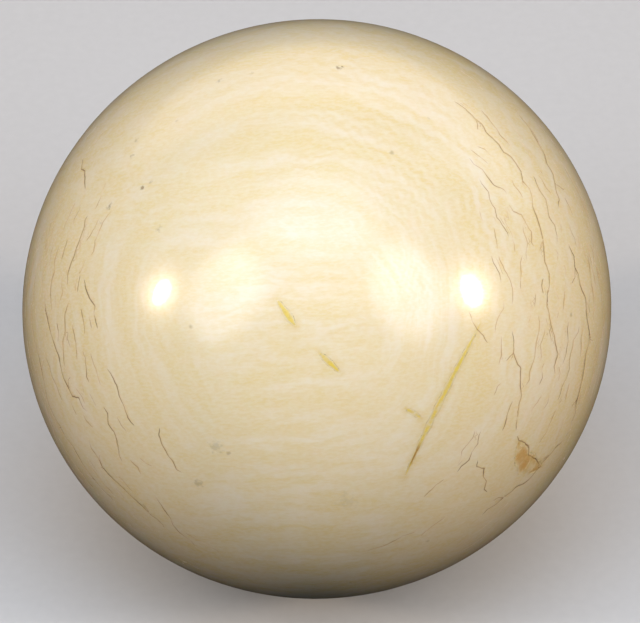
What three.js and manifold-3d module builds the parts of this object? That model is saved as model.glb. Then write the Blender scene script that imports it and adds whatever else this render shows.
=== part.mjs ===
// An old ivory cue ball.
//
// The ball is turned from one block of tusk with the nerve through its middle. The tusk has
// dried since, so the ball has shrunk a little out of round and its surface has opened in age
// checks. The dried nerve still lies in its canal, and the widest checks, the canal's two
// mouths and one chip are stopped with amber shellac, polished flush with the ball.
//
// Everything is built round the nerve first: the nerve is the local Z axis, and a place on the
// ball is a tilt away from the nerve and a bearing round it. The last lines then lay the ball
// down as it came to rest, with +Z up and the nerve's front end facing -Y and upward.
import * as THREE from "three";
import { mergeVertices } from "three/addons/utils/BufferGeometryUtils.js";
import Module from "manifold-3d";

// Driving dimensions, in millimetres and degrees.
const longDiameter = 57.15; // the size it was turned to, 2 1/4 in
const shortDiameter = 56.2; // across the grain, where the ivory has shrunk most
const grainDiameter = 57.15; // along the nerve, where ivory hardly shrinks
const longSideBearing = 15; // where the long diameter lies, round the nerve
const nerveDiameter = 0.9;
const seatGap = 0.25; // clearance between a filling and the ivory round it
const nerveTip = 53; // how far the nerve's front end is tipped down from straight up
const nerveTurn = -7; // and how far it is turned round the upright
const ballDetail = 15; // each edge of the icosahedron is split into this many pieces and one more

// What the shellac fills. A place is the tilt from the nerve and the bearing round it, a size is
// length, width and depth, heading is the way the length runs (0 is straight away from the nerve,
// 90 is round it), and bow is how far the middle bends to the left of the heading.
const frontSeal = { name: "nerve_seal_front", place: [0, 0], heading: 130, size: [3, 0.75, 1.5], bow: 0 };
const backSeal = { name: "nerve_seal_back", place: [180, 0], heading: 40, size: [2.4, 0.9, 1.5], bow: 0 };
const fillings = [
  frontSeal,
  backSeal,
  { name: "long_check_filling", place: [36, -26], heading: 95, size: [16, 0.7, 1.6], bow: 0.9 },
  { name: "short_check_filling", place: [12, -45], heading: 5, size: [2.7, 0.6, 1.2], bow: 0 },
  { name: "side_check_filling", place: [31, -35], heading: 5, size: [2, 0.45, 1], bow: 0 },
  { name: "chip_filling", place: [64, -28], heading: -10, size: [7, 2.3, 0.9], bow: -0.9 },
];

const ivory = { color: 0xead9b4, roughness: 0.3 };
const shellac = { color: 0xcf9a35, roughness: 0.25 };
const driedNerve = { color: 0x8a6234, roughness: 0.8 };

const wasm = await Module();
wasm.setup();

// A three.js geometry as a manifold solid.
function toSolid(geometry) {
  const bare = geometry.clone();
  bare.deleteAttribute("normal");
  bare.deleteAttribute("uv");
  const merged = mergeVertices(bare);
  return new wasm.Manifold(new wasm.Mesh({
    numProp: 3,
    vertProperties: new Float32Array(merged.attributes.position.array),
    triVerts: new Uint32Array(merged.index.array),
  }));
}

// A manifold solid as a named mesh in its own material.
function toMesh(name, solid, finish) {
  const { vertProperties, triVerts } = solid.getMesh();
  const geometry = new THREE.BufferGeometry();
  geometry.setAttribute("position", new THREE.BufferAttribute(vertProperties, 3));
  geometry.setIndex(new THREE.BufferAttribute(triVerts, 1));
  geometry.computeVertexNormals();
  const mesh = new THREE.Mesh(geometry, new THREE.MeshStandardMaterial({ ...finish, metalness: 0 }));
  mesh.name = name;
  return mesh;
}

// The ball's outside, or the same form sunk by a depth below it.
function ballForm(depth = 0) {
  const geometry = new THREE.IcosahedronGeometry(1, ballDetail);
  geometry.scale(longDiameter / 2 - depth, shortDiameter / 2 - depth, grainDiameter / 2 - depth);
  geometry.rotateZ(THREE.MathUtils.degToRad(longSideBearing));
  return toSolid(geometry);
}

// The pointed oval that a check opens to, bowed to one side and grown by a margin all round.
function checkOutline({ size: [length, width], bow }, margin) {
  const tip = length / 2 + margin;
  const bulge = width + 2 * margin; // a quadratic curve reaches half as far as its control point
  const outline = new THREE.Shape();
  outline.moveTo(-tip, 0);
  outline.quadraticCurveTo(0, 2 * bow - bulge, tip, 0);
  outline.quadraticCurveTo(0, 2 * bow + bulge, -tip, 0);
  return outline;
}

// The check's outline run straight into the ball at the filling's place.
function checkPrism(filling, margin) {
  const reach = 6; // from this far under the surface to this far over it
  const [tilt, bearing] = filling.place;
  const geometry = new THREE.ExtrudeGeometry(checkOutline(filling, margin), {
    depth: 2 * reach,
    bevelEnabled: false,
    curveSegments: 10,
  });
  geometry.translate(0, 0, grainDiameter / 2 - reach);
  geometry.rotateZ(THREE.MathUtils.degToRad(filling.heading));
  geometry.rotateY(THREE.MathUtils.degToRad(tilt));
  geometry.rotateZ(THREE.MathUtils.degToRad(bearing));
  return toSolid(geometry);
}

// The nerve, or the canal round it: a round rod along the nerve axis.
function nerveRod(diameter, front, back) {
  const geometry = new THREE.CylinderGeometry(diameter / 2, diameter / 2, front - back, 24);
  geometry.rotateX(Math.PI / 2);
  geometry.translate(0, 0, (front + back) / 2);
  return toSolid(geometry);
}

const outside = ballForm();

// How far along the nerve the bottom of a seal's seat lies.
function seatBottom({ size: [, , depth] }) {
  return grainDiameter / 2 - depth - seatGap;
}

// The turned ball, opened by the nerve canal and by every check that holds a filling.
function ballBody() {
  const intoSeat = seatGap / 2; // the canal runs on into the seats at both ends
  const front = seatBottom(frontSeal) + intoSeat;
  const back = -seatBottom(backSeal) - intoSeat;
  let body = outside.subtract(nerveRod(nerveDiameter + 2 * seatGap, front, back));
  for (const filling of fillings) {
    const depth = filling.size[2];
    const seat = checkPrism(filling, seatGap).subtract(ballForm(depth + seatGap));
    body = body.subtract(seat);
  }
  return toMesh("ball_body", body, ivory);
}

// The dried nerve, from the bottom of one seal's seat to the other's.
function nerveCore() {
  const rod = nerveRod(nerveDiameter, seatBottom(frontSeal), -seatBottom(backSeal));
  return toMesh("nerve_core", rod, driedNerve);
}

// Shellac in a check: its outline, between the ball's surface and its own depth.
function checkFilling(filling) {
  const depth = filling.size[2];
  const plug = checkPrism(filling, 0).intersect(outside).subtract(ballForm(depth));
  return toMesh(filling.name, plug, shellac);
}

const ball = new THREE.Group();
ball.add(ballBody());
ball.add(nerveCore());
for (const filling of fillings) {
  ball.add(checkFilling(filling));
}
ball.rotation.set(THREE.MathUtils.degToRad(nerveTip), 0, THREE.MathUtils.degToRad(nerveTurn), "ZXY");

const cueBall = new THREE.Group();
cueBall.add(ball);
export default cueBall;
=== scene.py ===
"""An old ivory cue ball with its dried nerve and its shellac stopping, on a plain pale floor."""
import math
import random

import bmesh
import bpy
import numpy as np
from mathutils import Matrix, Vector, kdtree, noise


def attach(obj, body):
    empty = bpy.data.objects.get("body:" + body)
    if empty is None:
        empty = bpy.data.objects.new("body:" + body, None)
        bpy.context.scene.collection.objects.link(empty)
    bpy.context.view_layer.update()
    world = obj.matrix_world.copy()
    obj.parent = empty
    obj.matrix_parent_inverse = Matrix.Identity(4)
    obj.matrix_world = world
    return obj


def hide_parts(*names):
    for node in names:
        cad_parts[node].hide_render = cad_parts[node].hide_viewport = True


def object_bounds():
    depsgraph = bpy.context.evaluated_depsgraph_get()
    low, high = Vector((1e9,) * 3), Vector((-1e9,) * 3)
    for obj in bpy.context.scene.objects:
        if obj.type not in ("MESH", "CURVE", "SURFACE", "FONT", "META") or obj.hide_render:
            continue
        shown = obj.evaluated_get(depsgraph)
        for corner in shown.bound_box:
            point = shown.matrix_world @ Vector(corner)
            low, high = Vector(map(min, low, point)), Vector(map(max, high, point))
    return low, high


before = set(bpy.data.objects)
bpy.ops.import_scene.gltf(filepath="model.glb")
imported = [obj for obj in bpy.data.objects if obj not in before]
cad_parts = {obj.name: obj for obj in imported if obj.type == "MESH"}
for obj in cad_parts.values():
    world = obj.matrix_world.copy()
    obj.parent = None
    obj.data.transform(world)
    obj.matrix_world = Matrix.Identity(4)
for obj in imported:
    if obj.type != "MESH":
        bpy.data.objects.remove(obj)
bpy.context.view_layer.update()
MM = 0.001


# ---------------------------------------------------------------------------------------------
# The turned ball. One block of elephant tusk, turned round its nerve, polished, and dried since
# until it is a little out of round. Its growth layers lie like nested cones round the nerve, and
# where they have parted the surface is open in fine age checks.

# The nerve is the Z axis of the turned ball, and a place on it is a bearing round the nerve and
# a tilt away from it, in degrees. The lay turns the ball to how it came to rest.
lay = Matrix.Rotation(math.radians(-7), 3, "Z") @ Matrix.Rotation(math.radians(53), 3, "X")
LAY = np.array(lay)
LONG_SIDE = np.array(Matrix.Rotation(math.radians(15), 3, "Z"))
HALF_WIDTHS = np.array([57.15, 56.2, 57.15]) / 2
MIDDLE_RADIUS = float(HALF_WIDTHS.mean())


def direction(bearing, tilt):
    b, t = math.radians(bearing), math.radians(tilt)
    return np.array([math.sin(t) * math.cos(b), math.sin(t) * math.sin(b), math.cos(t)])


def surface_radius(directions):
    """How far the polished surface lies from the middle, in millimetres, along unit directions."""
    return 1 / np.linalg.norm(directions @ LONG_SIDE / HALF_WIDTHS, axis=-1)


def swell_at(directions):
    """How far the old hand-turned surface rises over its true form, in millimetres."""
    return np.array([noise.noise(Vector(d) * 4.5) for d in directions]) * 0.016


def piece_from(name, points, faces, smooth_angle=32):
    """A mesh object from points in millimetres in the turned ball's own axes."""
    mesh = bpy.data.meshes.new(name)
    mesh.from_pydata((points @ LAY.T * MM).tolist(), [], faces.tolist())
    mesh.shade_smooth()
    mesh.set_sharp_from_angle(angle=math.radians(smooth_angle))
    piece = bpy.data.objects.new(name, mesh)
    bpy.context.scene.collection.objects.link(piece)
    return piece


# The stopped checks: place as bearing and tilt, the way the length runs (0 is straight away from
# the nerve, 90 is round it), length, width and depth in millimetres, and the bow to the left.
STOPPED = {
    "nerve_seal_front": dict(place=(0, 0), heading=130, size=(3.0, 0.62, 1.5), bow=0.0),
    "nerve_seal_back": dict(place=(0, 180), heading=40, size=(2.4, 0.8, 1.5), bow=0.0),
    "long_check_filling": dict(place=(-26, 36), heading=95, size=(16.0, 0.52, 1.6), bow=0.9),
    "short_check_filling": dict(place=(-45, 12), heading=5, size=(2.7, 0.5, 1.2), bow=0.0),
    "side_check_filling": dict(place=(-35, 31), heading=5, size=(2.0, 0.38, 1.0), bow=0.0),
    "chip_filling": dict(place=(-28, 64), heading=-10, size=(7.0, 2.1, 0.9), bow=-0.9),
}


class Seat:
    """Where one filling sits: its own axes on the ball, and the pointed outline of its check."""

    def __init__(self, place, heading, size, bow):
        bearing, tilt = place
        turned = (Matrix.Rotation(math.radians(bearing), 3, "Z")
                  @ Matrix.Rotation(math.radians(tilt), 3, "Y")
                  @ Matrix.Rotation(math.radians(heading), 3, "Z"))
        self.along, self.across, self.out = np.array(turned).T
        self.length, self.width, self.depth = size
        self.bow = bow

    def edge(self, x):
        """The check's centre line and half width at a distance along it, with a ragged edge."""
        taper = np.clip(1 - (2 * x / self.length) ** 2, 0, 1)
        ragged = 1 + 0.16 * np.sin(3.1 * x + self.length) + 0.1 * np.sin(7.7 * x + 2 * self.bow)
        return self.bow * taper, self.width / 2 * taper ** 0.8 * ragged

    def beyond(self, points):
        """How far points lie outside the outline, in millimetres, and less than 0 inside it."""
        x, y, z = points @ self.along, points @ self.across, points @ self.out
        middle, half = self.edge(x)
        outside = np.maximum(np.abs(y - middle) - half, np.abs(x) - self.length / 2)
        return np.where(z > 0, outside, MIDDLE_RADIUS)


seats = {name: Seat(**measures) for name, measures in STOPPED.items()}

# The widest open checks: the opening in millimetres, how dark the dirt is, from amber at 0 to black
# at 1, and where the check starts and ends, as bearing and tilt to the nearest 5 degrees.
MAIN_CHECKS = [
    (0.09, 0.60, (60, 60), (5, 55)),
    (0.08, 0.70, (50, 75), (25, 65)),
    (0.10, 0.95, (20, 65), (-20, 75)),
    (0.08, 0.85, (-20, 75), (-45, 65)),
    (0.06, 0.50, (20, 75), (-5, 80)),
    (0.05, 0.40, (30, 45), (5, 45)),
    (0.08, 0.50, (10, 55), (-10, 60)),
    (0.07, 0.70, (0, 45), (-25, 55)),
    (0.06, 0.60, (5, 35), (-5, 40)),
    (0.06, 0.70, (-35, 50), (-40, 60)),
    (0.09, 0.80, (-25, 55), (-30, 70)),
    (0.08, 0.80, (150, 65), (155, 55)),
    (0.07, 0.80, (175, 45), (190, 40)),
    (0.09, 0.85, (180, 60), (210, 50)),
    (0.09, 0.85, (190, 65), (230, 65)),
    (0.07, 0.70, (200, 40), (220, 40)),
    (0.07, 0.70, (210, 45), (225, 50)),
    (0.07, 0.70, (225, 35), (240, 40)),
    (0.08, 0.70, (215, 55), (245, 60)),
    (0.06, 0.60, (235, 50), (250, 60)),
    (0.06, 0.60, (200, 70), (225, 75)),
]
STEP = 0.06  # between the sampled points of a check
rng = random.Random(11)
noise.seed_set(11)  # noise_vector would take its offsets from the clock without this


def check_line(places, kink=0.34):
    """Points along a check on the unit ball: short straight runs between small seeded kinks."""
    corners = [direction(*places[0])]
    for start, end in zip(places, places[1:]):
        a, b = direction(*start), direction(*end)
        span = float(np.linalg.norm(b - a)) * MIDDLE_RADIUS
        runs = max(1, round(span / 0.95))
        side = np.cross(a, b)
        side /= np.linalg.norm(side)
        for run in range(1, runs + 1):
            sway = rng.uniform(-kink, kink) / MIDDLE_RADIUS if run < runs else 0
            corner = a + (b - a) * run / runs + side * sway
            corners.append(corner / np.linalg.norm(corner))
    line = []
    for a, b in zip(corners, corners[1:]):
        steps = max(2, round(float(np.linalg.norm(b - a)) * MIDDLE_RADIUS / STEP))
        line += [a + (b - a) * k / steps for k in range(steps)]
    line = np.array(line + [corners[-1]])
    wobble = np.array([noise.noise_vector(Vector(p) * MIDDLE_RADIUS * 2.2) for p in line])
    line = line + wobble * 0.07 / MIDDLE_RADIUS
    return line / np.linalg.norm(line, axis=1, keepdims=True)


class Check:
    """One open check as sampled points, with its half width, depth and darkness at each."""

    def __init__(self, opening, darkness, line, fineness):
        along = np.linspace(0, 1, len(line))
        taper = np.clip(np.minimum(along, 1 - along) * 5, 0, 1) ** 0.7
        uneven = np.array([noise.noise(Vector(p) * MIDDLE_RADIUS * 0.9 + Vector((9, 4, 2))) for p in line])
        self.line = line
        self.half = opening / 2 * taper * np.clip(1 + 0.9 * uneven, 0.35, 1.6)
        self.dark = np.clip(darkness + 0.5 * uneven, 0, 1)
        self.fine = np.full(len(line), fineness)
        ahead = np.gradient(line, axis=0)
        sideways = np.cross(line, ahead)
        self.side = sideways / np.linalg.norm(sideways, axis=1, keepdims=True)


def wander(start, end):
    """Places from one end of a check to the other, drifting across the growth layer on the way."""
    (bearing, tilt), (last_bearing, last_tilt) = start, end
    span = float(np.linalg.norm(direction(*end) - direction(*start))) * MIDDLE_RADIUS
    turns = max(1, round(span / 3))
    places = [start]
    for share in np.arange(1, turns) / turns:
        places.append((bearing + (last_bearing - bearing) * share,
                       tilt + (last_tilt - tilt) * share + rng.uniform(-1.6, 1.6)))
    return places + [end]


# A few short checks branch off each long one.
checks = []
for opening, darkness, start, end in MAIN_CHECKS:
    places = wander(start, end)
    checks.append(Check(opening, darkness, check_line(places), 0.13))
    if len(places) > 4:
        for bearing, tilt in places[1:-1:2]:
            tip = (bearing - rng.uniform(2, 4), tilt + rng.choice((-1, 1)) * rng.uniform(1.5, 3.0))
            checks.append(Check(0.04, darkness * 0.7, check_line([(bearing, tilt), tip]), 0.2))


def seeded_check(bearing, tilt, length, opening, darkness, fineness):
    """A check that keeps to its growth layer: it runs round the nerve and drifts a little."""
    reach = math.degrees(length / MIDDLE_RADIUS) / max(math.sin(math.radians(tilt)), 0.3)
    drift = rng.uniform(-0.22, 0.22) * reach
    turns = max(1, round(length / 3))
    places = [(bearing - reach * k / turns, tilt + drift * k / turns + rng.uniform(-0.7, 0.7))
              for k in range(turns + 1)]
    return Check(opening, darkness, check_line(places), fineness)


# Finer checks fill both flanks of the ball, where the growth layers come to the surface, all the
# way round to the back. None runs close beside another.
FLANKS = (8, 196)  # the bearings that the checked flanks are centred on
SEEDED = [  # how many, spread of bearings, tilts, lengths, openings, darkness, fineness of mesh
    (170, 23, (44, 78), (1.5, 8.0), (0.045, 0.070), (0.2, 0.8), 0.15),
    (320, 22, (42, 84), (1.2, 4.5), (0.030, 0.042), (0.0, 0.6), 0.22),
    (64, 30, (92, 142), (3.0, 15.0), (0.05, 0.10), (0.4, 0.95), 0.14),
    (130, 38, (88, 152), (1.2, 5.0), (0.035, 0.045), (0.0, 0.6), 0.22),
]
for count, spread, *ranges, fineness in SEEDED:
    for _ in range(count):
        bearing = rng.gauss(rng.choice(FLANKS), spread)
        tilt, length, opening, darkness = (rng.uniform(*ends) for ends in ranges)
        check = seeded_check(bearing, tilt, length, opening, darkness, fineness)
        others = np.concatenate([other.line[::5] for other in checks])
        apart = np.linalg.norm(check.line[::5, None] - others, axis=2).min() * MIDDLE_RADIUS
        if apart > 0.15 + 6 * opening:
            checks.append(check)

line_points = np.concatenate([check.line for check in checks])
line_half = np.concatenate([check.half for check in checks])
line_dark = np.concatenate([check.dark for check in checks])
line_fine = np.concatenate([check.fine for check in checks])
line_side = np.concatenate([check.side for check in checks])
line_tree = kdtree.KDTree(len(line_points))
for index, point in enumerate(line_points):
    line_tree.insert(point, index)
line_tree.balance()


def nearest_check(directions):
    """For unit directions: the nearest sampled check point, and its distance in millimetres."""
    found = [line_tree.find(d) for d in directions]
    index = np.array([f[1] for f in found])
    return index, np.array([f[2] for f in found]) * MIDDLE_RADIUS


def wanted_edge(directions):
    """The longest edge that the mesh may have at each place, in millimetres."""
    index, distance = nearest_check(directions)
    wanted = line_fine[index] + 0.55 * np.maximum(0, distance - 0.12)
    points = directions * surface_radius(directions)[:, None]
    for seat in seats.values():
        rim = np.abs(seat.beyond(points))
        wanted = np.minimum(wanted, 0.11 + 0.5 * np.maximum(0, rim - 0.1))
    return wanted


def split_edges(directions, faces):
    """Split every edge that is longer than wanted, and the triangles on it into 2, 3 or 4."""
    corners = np.sort(np.concatenate([faces[:, [0, 1]], faces[:, [1, 2]], faces[:, [2, 0]]]), axis=1)
    edges, which = np.unique(corners, axis=0, return_inverse=True)
    which = which.reshape(3, -1).T
    ends = directions[edges]
    middles = ends.sum(axis=1)
    middles /= np.linalg.norm(middles, axis=1, keepdims=True)
    lengths = np.linalg.norm(ends[:, 0] - ends[:, 1], axis=1) * MIDDLE_RADIUS
    long = lengths > 0.12
    long[long] = lengths[long] > 1.35 * wanted_edge(middles[long])
    fresh = np.full(len(edges), -1)
    fresh[long] = len(directions) + np.arange(long.sum())
    directions = np.concatenate([directions, middles[long]])
    middle = fresh[which]
    count = (middle >= 0).sum(axis=1)
    parts = [faces[count == 0]]
    for side in range(3):
        a, b, c = faces[:, side], faces[:, (side + 1) % 3], faces[:, (side + 2) % 3]
        ab, bc, ca = middle[:, side], middle[:, (side + 1) % 3], middle[:, (side + 2) % 3]
        one = (count == 1) & (ab >= 0)
        parts.append(np.stack([a, ab, c], axis=1)[one])
        parts.append(np.stack([ab, b, c], axis=1)[one])
        two = (count == 2) & (ca < 0)
        parts.append(np.stack([ab, b, bc], axis=1)[two])
        parts.append(np.stack([a, ab, bc], axis=1)[two])
        parts.append(np.stack([a, bc, c], axis=1)[two])
    (a, b, c), (ab, bc, ca) = faces[count == 3].T, middle[count == 3].T
    for corner in ((a, ab, ca), (ab, b, bc), (ca, bc, c), (ab, bc, ca)):
        parts.append(np.stack(corner, axis=1))
    return directions, np.concatenate(parts), int(long.sum())


round_start = bmesh.new()
bmesh.ops.create_icosphere(round_start, subdivisions=6, radius=1)
directions = np.array([v.co for v in round_start.verts])
directions /= np.linalg.norm(directions, axis=1, keepdims=True)
faces = np.array([[v.index for v in f.verts] for f in round_start.faces])
round_start.free()
for _ in range(7):
    directions, faces, split = split_edges(directions, faces)
    if not split:
        break

index, distance = nearest_check(directions)
half = line_half[index]
groove = np.clip(1 - distance / (half + 0.05), 0, 1) * half * 0.8
depth = groove - swell_at(directions)
points = directions * surface_radius(directions)[:, None]
amber_reach = np.full(len(points), 9.0)
for name, seat in seats.items():
    beyond = seat.beyond(points)
    depth = np.maximum(depth, seat.depth * np.clip((-beyond - 0.04) / 0.05, 0, 1))
    amber_reach = np.minimum(amber_reach, np.maximum(beyond, 0))
points = points - directions * depth[:, None]

ball = piece_from("turned_ivory_ball", points, faces)


def store(piece, values_by_name):
    for name, values in values_by_name.items():
        layer = piece.data.attributes.new(name, "FLOAT", "POINT")
        layer.data.foreach_set("value", np.asarray(values, dtype=np.float32))


def mark_checks(piece, directions):
    """Store on each point where the nearest check lies, so that the material can draw it."""
    index, distance = nearest_check(directions)
    offset = (directions - line_points[index]) * MIDDLE_RADIUS
    across = np.einsum("ij,ij->i", offset, line_side[index])
    store(piece, {"check_across": across, "check_reach": distance,
                  "check_half": line_half[index], "check_dark": line_dark[index]})


mark_checks(ball, directions)
store(ball, {"amber_reach": amber_reach})


class Shade:
    """A socket in a material. Sums written on it become Math nodes that feed from it."""

    def __init__(self, tree, socket=None):
        self.tree = tree
        self.socket = socket

    def node(self, kind, settings=None, inputs=None, out=0):
        made = self.tree.nodes.new(kind)
        for name, value in (settings or {}).items():
            if name == "stops":
                self.set_stops(made.color_ramp, value)
            else:
                setattr(made, name, value)
        for key, value in (inputs or {}).items():
            if isinstance(value, Shade):
                self.tree.links.new(value.socket, made.inputs[key])
            else:
                made.inputs[key].default_value = value
        return Shade(self.tree, made.outputs[out])

    def set_stops(self, ramp, stops):
        while len(ramp.elements) < len(stops):
            ramp.elements.new(1)
        for element, (position, colour) in zip(ramp.elements, stops):
            element.position = position
            element.color = (*colour, 1)

    def math(self, operation, *values):
        return self.node("ShaderNodeMath", {"operation": operation}, dict(enumerate(values)))

    def __add__(self, other):
        return self.math("ADD", self, other)

    __radd__ = __add__

    def __mul__(self, other):
        return self.math("MULTIPLY", self, other)

    __rmul__ = __mul__

    def __sub__(self, other):
        return self.math("SUBTRACT", self, other)

    def __rsub__(self, other):
        return self.math("SUBTRACT", other, self)

    def __truediv__(self, other):
        return self.math("DIVIDE", self, other)

    def __pow__(self, other):
        return self.math("POWER", self, other)

    def sine(self):
        return self.math("SINE", self)

    def cosine(self):
        return self.math("COSINE", self)

    def ease(self, low, high):
        """0 below low, 1 above high, and an eased rise between them."""
        return self.node("ShaderNodeMapRange", {"interpolation_type": "SMOOTHSTEP"},
                         {"Value": self, "From Min": low, "From Max": high})

    def attribute(self, name):
        return self.node("ShaderNodeAttribute", {"attribute_name": name}, out="Fac")

    def cloud(self, place, scale, detail=2.0, roughness=0.5, warp=0.0):
        """Soft noise from 0 to 1 at a scale per millimetre of the place."""
        return self.node("ShaderNodeTexNoise", {"noise_dimensions": "3D"},
                         {"Vector": place, "Scale": scale, "Detail": detail,
                          "Roughness": roughness, "Distortion": warp}, out="Fac")

    def vector(self, x, y, z):
        return self.node("ShaderNodeCombineXYZ", inputs={0: x, 1: y, 2: z})

    def mix(self, factor, first, second, how="MIX"):
        """A colour mixed from two, each a colour or a link."""
        paint = {6: first, 7: second}
        paint = {k: v if isinstance(v, Shade) else (*v, 1) for k, v in paint.items()}
        return self.node("ShaderNodeMix", {"data_type": "RGBA", "blend_type": how},
                         {0: factor, **paint}, out=2)


def new_material(name):
    material = bpy.data.materials.new(name)
    material.use_nodes = True
    return material, Shade(material.node_tree)


def feed(material, colour, rough, bump):
    """Link a material's colour, roughness and bump, and give back its shader."""
    skin = material.node_tree.nodes["Principled BSDF"]
    for name, shade in {"Base Color": colour, "Roughness": rough, "Normal": bump}.items():
        material.node_tree.links.new(shade.socket, skin.inputs[name])
    return skin


def polish_up(skin):
    """The gloss and the slight glow from within that polished ivory and shellac share."""
    skin.inputs["IOR"].default_value = 1.54
    skin.inputs["Subsurface Weight"].default_value = 0.15
    skin.inputs["Subsurface Radius"].default_value = (1.0, 0.55, 0.25)
    skin.inputs["Subsurface Scale"].default_value = 0.0008
    skin.inputs["Coat Weight"].default_value = 0.5
    skin.inputs["Coat Roughness"].default_value = 0.07


def turned_axes(sheet):
    """The place on the object in millimetres along the turned ball's own axes."""
    place = sheet.node("ShaderNodeTexCoord", out="Object")
    axes = []
    for axis in LAY.T:
        axes.append(sheet.node("ShaderNodeVectorMath", {"operation": "DOT_PRODUCT"},
                               {0: place, 1: tuple(axis / MM)}, out="Value"))
    return axes


# Ivory: pale cream with a yellower grain. The growth layers show as uneven rings round the nerve,
# drawn out into level wisps near it, and elephant ivory alone has arcs that cross them.
def ivory_grain(sheet, place, x, y, z):
    """The colour of clean ivory at a place, and how its finest grain rises and falls."""
    bearing = sheet.math("ARCTAN2", y, x)
    from_nerve = (x * x + y * y) ** 0.5
    drift = sheet.cloud(place, 0.11, 2.0) - 0.5
    ripple = sheet.cloud(place, 0.45, 3.0) - 0.5

    layer = from_nerve + 0.05 * z + 3.0 * drift + 0.45 * ripple
    ring_place = sheet.vector(x * 0.09, y * 0.09, layer)
    broad_rings = sheet.cloud(ring_place, 0.45, 2.0).ease(0.38, 0.64)
    fine_rings = sheet.cloud(ring_place, 1.25, 2.5, 0.6).ease(0.40, 0.62)
    ring_side = (bearing - math.radians(40)).cosine().ease(-0.5, 0.6)
    ring_side = sheet.math("MAXIMUM", ring_side, (bearing + math.radians(160)).cosine().ease(0.6, 0.95))
    ring_share = from_nerve.ease(5.0, 13.0) * ring_side

    wisp_place = sheet.vector(0.20 * x, y - 0.13 * x + 1.0 * drift + 0.35 * ripple, 0.5 * z)
    broad_wisps = sheet.cloud(wisp_place, 0.62, 2.0, 0.5).ease(0.38, 0.64)
    fine_wisps = sheet.cloud(wisp_place, 1.5, 2.5, 0.6).ease(0.40, 0.64)
    dashes = sheet.cloud(sheet.vector(0.35 * x, y - 0.13 * x, 0.6 * z), 4.5, 2.0, 0.6)
    broad = sheet.math("ADD", broad_rings * ring_share, broad_wisps * (1 - ring_share))
    fine = sheet.math("ADD", fine_rings * ring_share, fine_wisps * (1 - ring_share))

    arcs = 68  # crossing arcs of each hand round the nerve
    lean = 2.0  # tangent of the angle that an arc makes with the line to the nerve
    turn = sheet.math("LOGARITHM", from_nerve + 0.5 * ripple + 0.4, math.e) * lean
    swing = bearing + 0.06 * (sheet.cloud(place, 0.3, 2.0) - 0.5)
    left_arcs = ((swing + turn) * arcs).sine()
    right_arcs = ((swing - turn) * arcs).sine()
    hair_rings = (layer * (2 * math.pi / 1.05)).sine()
    patches = sheet.cloud(place, 0.5, 2.0)
    weave = hair_rings * 0.30 + left_arcs * 0.35 * patches + right_arcs * 0.35 * (1 - patches)
    weave = (weave + 0.5).ease(0.1, 0.9)
    arc_side = (bearing - math.radians(55)).cosine().ease(0.45, 0.9)
    arc_side = sheet.math("MAXIMUM", arc_side, (bearing + math.radians(150)).cosine().ease(0.5, 0.95) * 0.4)
    arc_share = sheet.cloud(place, 0.2, 1.0).ease(0.32, 0.62) * from_nerve.ease(6.0, 12.0) * arc_side

    mottle = sheet.cloud(place, 0.16, 3.0, 0.55).ease(0.35, 0.70)
    fleck = sheet.cloud(place, 1.7, 3.0, 0.6).ease(0.35, 0.75)
    colour = sheet.mix(mottle * 0.6, PALE, CREAM)
    colour = sheet.mix(broad * 0.58, colour, STRAW)
    colour = sheet.mix(fine * 0.60, colour, STRAW)
    colour = sheet.mix(weave * arc_share * 0.42, colour, STRAW)
    colour = sheet.mix((1 - weave) * arc_share * 0.35, colour, MILK)
    colour = sheet.mix(fleck * 0.30, colour, STRAW)
    return sheet.mix(dashes.ease(0.35, 0.7) * 0.35, colour, MILK), fine


def age_checks(sheet, colour):
    """Draw the open checks over a colour: brown to black dirt in the opening, amber beside it."""
    reach = sheet.attribute("check_reach")
    half_width = sheet.attribute("check_half")
    off_centre = sheet.math("ABSOLUTE", sheet.attribute("check_across"))
    near = 1 - reach.ease(0.22, 0.36)
    open_line = (1 - (off_centre / (half_width + 0.034)).ease(0.30, 1.30)) * near
    open_line = open_line * half_width.ease(0.003, 0.020)
    beside = (1 - (reach / (half_width * 5 + 0.06)).ease(0.1, 1.0)) * half_width.ease(0.01, 0.04)
    dirt = sheet.attribute("check_dark") ** 1.4
    dirt_colour = sheet.mix(dirt, (0.500, 0.250, 0.080), (0.200, 0.105, 0.050))
    colour = sheet.mix(beside * 0.28, colour, AMBER_STAIN)
    return sheet.mix(open_line * (0.56 + 0.30 * dirt), colour, dirt_colour), open_line


MILK = (0.870, 0.790, 0.650)
PALE = (0.850, 0.745, 0.560)
CREAM = (0.825, 0.695, 0.470)
STRAW = (0.800, 0.640, 0.320)
AMBER_STAIN = (0.740, 0.530, 0.180)

ivory, sheet = new_material("polished_old_ivory")
x, y, z = turned_axes(sheet)
place = sheet.vector(x, y, z)
colour, grain_relief = ivory_grain(sheet, place, x, y, z)

# The dirt of years: yellow round the stopping, specks of brown and grey, and dark in the checks.
amber_reach = sheet.attribute("amber_reach")
halo_patches = sheet.cloud(place, 0.9, 2.0).ease(0.30, 0.66)
colour = sheet.mix((1 - amber_reach.ease(0.0, 0.8)) * halo_patches * 0.35, colour, AMBER_STAIN)
colour = sheet.mix((1 - amber_reach.ease(0.0, 0.16)) * 0.30, colour, AMBER_STAIN)

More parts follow.
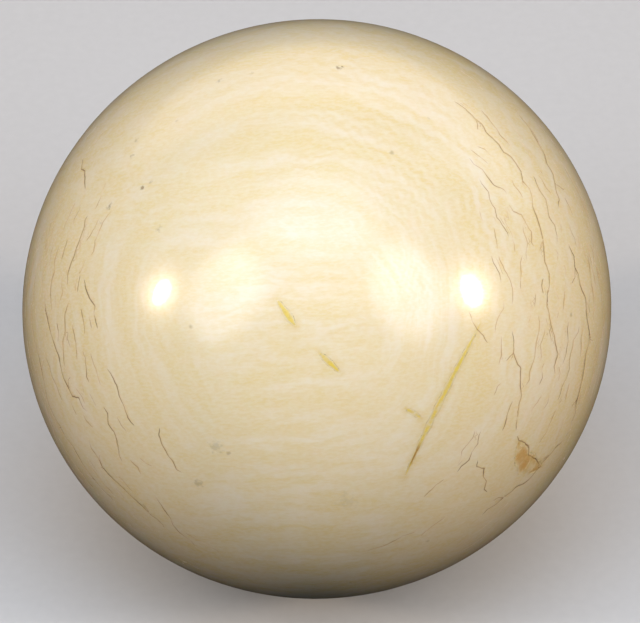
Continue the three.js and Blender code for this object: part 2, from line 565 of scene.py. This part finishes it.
SPECK_BROWN = (0.240, 0.140, 0.045)
SPECK_GREY = (0.330, 0.330, 0.250)
SPECKS = [  # bearing and tilt, width in millimetres, strength, and the share of grey in it
    (85, 55, 0.60, 0.85, 0.1), (145, 40, 0.40, 0.70, 0.2), (155, 45, 0.50, 0.60, 0.2),
    (-115, 40, 0.70, 0.35, 0.6), (-115, 30, 1.10, 0.25, 0.6), (-70, 40, 1.60, 0.14, 1.0),
]
for _ in range(8):
    SPECKS.append((rng.uniform(95, 160), rng.uniform(30, 55), rng.uniform(0.3, 0.6),
                   rng.uniform(0.2, 0.45), rng.uniform(0.0, 0.4)))
torn = sheet.cloud(place, 2.6, 3.0) - 0.5
for spot_bearing, spot_tilt, width, strength, grey in SPECKS:
    middle = direction(spot_bearing, spot_tilt) * MIDDLE_RADIUS
    gap = sheet.node("ShaderNodeVectorMath", {"operation": "DISTANCE"},
                     {0: place, 1: tuple(middle)}, out="Value")
    spot = 1 - (gap + 2.2 * width * torn).ease(0.0, width * 0.75)
    paint = tuple(b + (g - b) * grey for b, g in zip(SPECK_BROWN, SPECK_GREY))
    colour = sheet.mix(spot * strength, colour, paint)
speck_cells = sheet.node("ShaderNodeTexVoronoi", {"feature": "F1"}, {"Vector": place, "Scale": 0.16})
specks = 1 - (speck_cells + 0.05 * torn).ease(0.010, 0.050)
colour = sheet.mix(specks * 0.35, colour, SPECK_BROWN)

colour, open_line = age_checks(sheet, colour)

polish = sheet.cloud(place, 0.35, 4.0, 0.6)
rough = 0.20 + 0.10 * polish + 0.30 * open_line
wear = 0.25 * sheet.cloud(place, 3.0, 4.0, 0.6) + sheet.cloud(place, 0.5, 2.0) + 0.2 * grain_relief
bump = sheet.node("ShaderNodeBump", inputs={"Strength": 0.035, "Distance": 0.0002, "Height": wear})

polish_up(feed(ivory, colour, rough, bump))
ball.data.materials.append(ivory)

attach(ball, "root")
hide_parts("ball_body")


# ---------------------------------------------------------------------------------------------
# The stopping. It thins out towards its edges, where the ivory shows through.
shellac, sheet = new_material("amber_shellac")
x, y, z = turned_axes(sheet)
place = sheet.vector(x, y, z)
under, grain_relief = ivory_grain(sheet, place, x, y, z)
inward = sheet.attribute("inward")
browned = sheet.attribute("browned")
clouds = sheet.cloud(place, 1.1, 3.0, 0.6)
streaks = sheet.cloud(place, 2.6, 3.0, 0.6).ease(0.50, 0.75)
HONEY = (0.800, 0.590, 0.070)
TAN = (0.660, 0.390, 0.130)
OLD_AMBER = (0.560, 0.330, 0.060)
BURNT = (0.380, 0.180, 0.050)
amber = sheet.mix(browned, HONEY, TAN)
amber = sheet.mix(streaks * 0.45, amber, OLD_AMBER)
patchy = sheet.cloud(place, 0.7, 2.0, 0.5).ease(0.30, 0.66)
thickness = inward.ease(0.15, 1.0) * clouds.ease(0.25, 0.65) * (1 - browned)
thickness = thickness + inward.ease(0.0, 0.8) * patchy * browned
colour = sheet.mix(0.25 + 0.45 * thickness, under, AMBER_STAIN)
colour = sheet.mix(thickness * 0.85, colour, amber)
along = sheet.attribute("along_check")
burnt_end = (1 - along.ease(0.17, 0.25)) * along.ease(0.04, 0.12) * inward.ease(0.35, 0.85)
colour = sheet.mix(burnt_end * 0.75, colour, BURNT)
colour, open_line = age_checks(sheet, colour)
bump = sheet.node("ShaderNodeBump", inputs={"Strength": 0.06, "Distance": 0.0002, "Height": clouds})
polish_up(feed(shellac, colour, 0.22 + 0.1 * clouds, bump))

PROUD = 0.010  # how far the middle of a filling stands over the ball, in millimetres
SUNK = 0.004  # how far its edge lies under the ball


def stopping(name, seat):
    """A filling as a closed plug: its top lies a hair proud of the ball in the middle and feathers
    out just under the ivory at the edge, and its sides go straight down."""
    columns = 13
    rows = max(16, round(seat.length / 0.16))
    along = seat.length / 2 * np.cos(np.linspace(math.pi, 0, rows + 1))
    across = np.linspace(-1, 1, columns)
    middle, half_width = seat.edge(along)
    x = np.repeat(along, columns)
    y = np.repeat(middle, columns) + np.outer(half_width + 0.02, across).ravel()
    flat = x[:, None] * seat.along + y[:, None] * seat.across
    height = np.sqrt(MIDDLE_RADIUS ** 2 - x ** 2 - y ** 2)
    aim = flat + height[:, None] * seat.out
    aim /= np.linalg.norm(aim, axis=1, keepdims=True)
    radius = surface_radius(aim)
    inward = 1 - np.tile(np.abs(across), rows + 1) ** 2
    inward = inward * np.clip((1 - np.abs(2 * x / seat.length)) * seat.length / 0.5, 0, 1)
    top = aim * (radius + swell_at(aim) + PROUD * inward - SUNK)[:, None]
    bottom = aim * (radius - seat.depth)[:, None]
    faces = []
    size = len(top)
    for row in range(rows):
        for column in range(columns - 1):
            a = row * columns + column
            b, c, d = a + 1, a + columns + 1, a + columns
            faces.append((a, d, c, b))
            faces.append((a + size, b + size, c + size, d + size))
        for a, turned in ((row * columns, False), (row * columns + columns - 1, True)):
            wall = (a, a + size, a + columns + size, a + columns)
            faces.append(wall[::-1] if turned else wall)
    for row, turned in ((0, True), (rows, False)):
        for column in range(columns - 1):
            a = row * columns + column
            wall = (a, a + size, a + 1 + size, a + 1)
            faces.append(wall[::-1] if turned else wall)
    piece = piece_from(name, np.concatenate([top, bottom]), np.array(faces), 50)
    share = x / seat.length + 0.5 if name == "long_check_stopping" else np.ones(size)
    brown = np.full(size, float(name == "chip_stopping"))
    store(piece, {"inward": np.tile(inward, 2), "along_check": np.tile(share, 2),
                  "browned": np.tile(brown, 2)})
    mark_checks(piece, np.tile(aim, (2, 1)))
    clean = bmesh.new()
    clean.from_mesh(piece.data)
    bmesh.ops.remove_doubles(clean, verts=clean.verts, dist=0.004 * MM)
    bmesh.ops.recalc_face_normals(clean, faces=clean.faces)
    clean.to_mesh(piece.data)
    clean.free()
    piece.data.materials.append(shellac)
    return piece


for node, seat in seats.items():
    plug = stopping(node.replace("_filling", "_stopping").replace("_seal", "_stopping"), seat)
    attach(plug, "root")
    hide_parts(node)


# ---------------------------------------------------------------------------------------------
# The dried nerve. A brown thread of dead tissue that lies in its canal from one seal to the other.
# It is inside the ball and keeps its designed shape.
nerve, sheet = new_material("dried_nerve")
x, y, z = turned_axes(sheet)
fibres = sheet.cloud(sheet.vector(x * 6, y * 6, z * 0.4), 1.0, 4.0, 0.6)
colour = sheet.mix(fibres, (0.110, 0.050, 0.018), (0.330, 0.180, 0.070))
bump = sheet.node("ShaderNodeBump", inputs={"Strength": 0.5, "Distance": 0.0002, "Height": fibres})
feed(nerve, colour, 0.7 + 0.2 * fibres, bump)
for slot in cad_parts["nerve_core"].material_slots:
    slot.material = nerve


# ---------------------------------------------------------------------------------------------
# The studio: a plain pale floor under the ball, two small bright lamps low at the sides, three
# soft ones overhead and to the left and right, and weak fills in front, at the side and behind.
low, high = np.array(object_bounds())
floor_mesh = bpy.data.meshes.new("floor")
floor_mesh.from_pydata([(-3, -3, 0), (3, -3, 0), (3, 3, 0), (-3, 3, 0)], [], [(0, 1, 2, 3)])
floor = bpy.data.objects.new("floor", floor_mesh)
floor.location.z = low[2]
bpy.context.scene.collection.objects.link(floor)
paper, sheet = new_material("pale_floor")
grain = sheet.cloud(sheet.node("ShaderNodeTexCoord", out="Object"), 900.0, 2.0)
card = paper.node_tree.nodes["Principled BSDF"]
tone = sheet.mix(grain, (0.56, 0.56, 0.57), (0.60, 0.60, 0.61))
paper.node_tree.links.new(tone.socket, card.inputs["Base Color"])
card.inputs["Roughness"].default_value = 0.9
floor.data.materials.append(paper)
floor.visible_diffuse = False
floor.visible_glossy = False

LAMP_DISTANCE = 0.7


def lamp(name, azimuth, elevation, spread, strength, colour, soft_edge=True):
    """An area lamp aimed at the ball. Spread is its width and height as seen from the ball."""
    a, e = math.radians(azimuth), math.radians(elevation)
    toward = Vector((math.sin(a) * math.cos(e), -math.cos(a) * math.cos(e), math.sin(e)))
    light = bpy.data.lights.new(name, "AREA")
    light.shape = "ELLIPSE"
    light.size, light.size_y = (2 * LAMP_DISTANCE * math.tan(math.radians(s) / 2) for s in spread)
    light.energy = strength * math.pi * light.size * light.size_y * math.pi / 4
    light.color = colour
    if soft_edge:
        light.use_nodes = True
        sheet = Shade(light.node_tree)
        face = sheet.node("ShaderNodeNewGeometry", out="Parametric")
        middle = sheet.node("ShaderNodeVectorMath", {"operation": "DISTANCE"},
                            {0: face, 1: (0.5, 0.5, 0)}, out="Value")
        emission = light.node_tree.nodes["Emission"]
        light.node_tree.links.new((1 - middle.ease(0.28, 0.5)).socket, emission.inputs["Strength"])
    made = bpy.data.objects.new(name, light)
    made.location = toward * LAMP_DISTANCE
    made.rotation_euler = toward.to_track_quat("Z", "Y").to_euler()
    bpy.context.scene.collection.objects.link(made)


WARM = (1.0, 0.8, 0.6)
WHITE = (0.95, 0.97, 1.0)
SKY = (0.45, 0.7, 1.0)

lamp("left_bulb", -70, 22, (6, 9), 75, WARM, soft_edge=False)
lamp("right_bulb", 70, 22, (9, 11), 55, WARM, soft_edge=False)
lamp("top_softbox", 0, 75, (55, 45), 2.5, SKY)
lamp("left_softbox", -45, 35, (35, 45), 3.3, WHITE)
lamp("right_softbox", 45, 35, (35, 45), 3.3, WHITE)
lamp("front_fill", 0, 55, (90, 50), 1.3, WHITE)
lamp("left_fill", -80, 50, (60, 50), 0.5, WHITE)
lamp("back_fill", 180, 35, (110, 50), 1.1, WARM)
lamp("right_rim", 120, 30, (25, 60), 0.8, WHITE)

world = bpy.data.worlds.new("studio")
world.use_nodes = True
world.node_tree.nodes["Background"].inputs["Color"].default_value = (0.95, 0.97, 1.0, 1)
world.node_tree.nodes["Background"].inputs["Strength"].default_value = 0.02
bpy.context.scene.world = world
bpy.context.scene.view_settings.view_transform = "Standard"

camera_data = bpy.data.cameras.new("camera")
camera_data.sensor_width = 36
CAMERA_DISTANCE = 0.5
CAMERA_ELEVATION = math.radians(38)
BALL_SHARE = 0.92  # of the image's width
half_angle = math.asin(0.0571 / 2 / CAMERA_DISTANCE)
camera_data.lens = camera_data.sensor_width * BALL_SHARE / 2 / math.tan(half_angle)
camera_data.shift_x = 0.005
camera_data.shift_y = -0.004
camera = bpy.data.objects.new("camera", camera_data)
back = Vector((0, -math.cos(CAMERA_ELEVATION), math.sin(CAMERA_ELEVATION)))
camera.location = back * CAMERA_DISTANCE
camera.rotation_euler = back.to_track_quat("Z", "Y").to_euler()
bpy.context.scene.collection.objects.link(camera)
bpy.context.scene.camera = camera
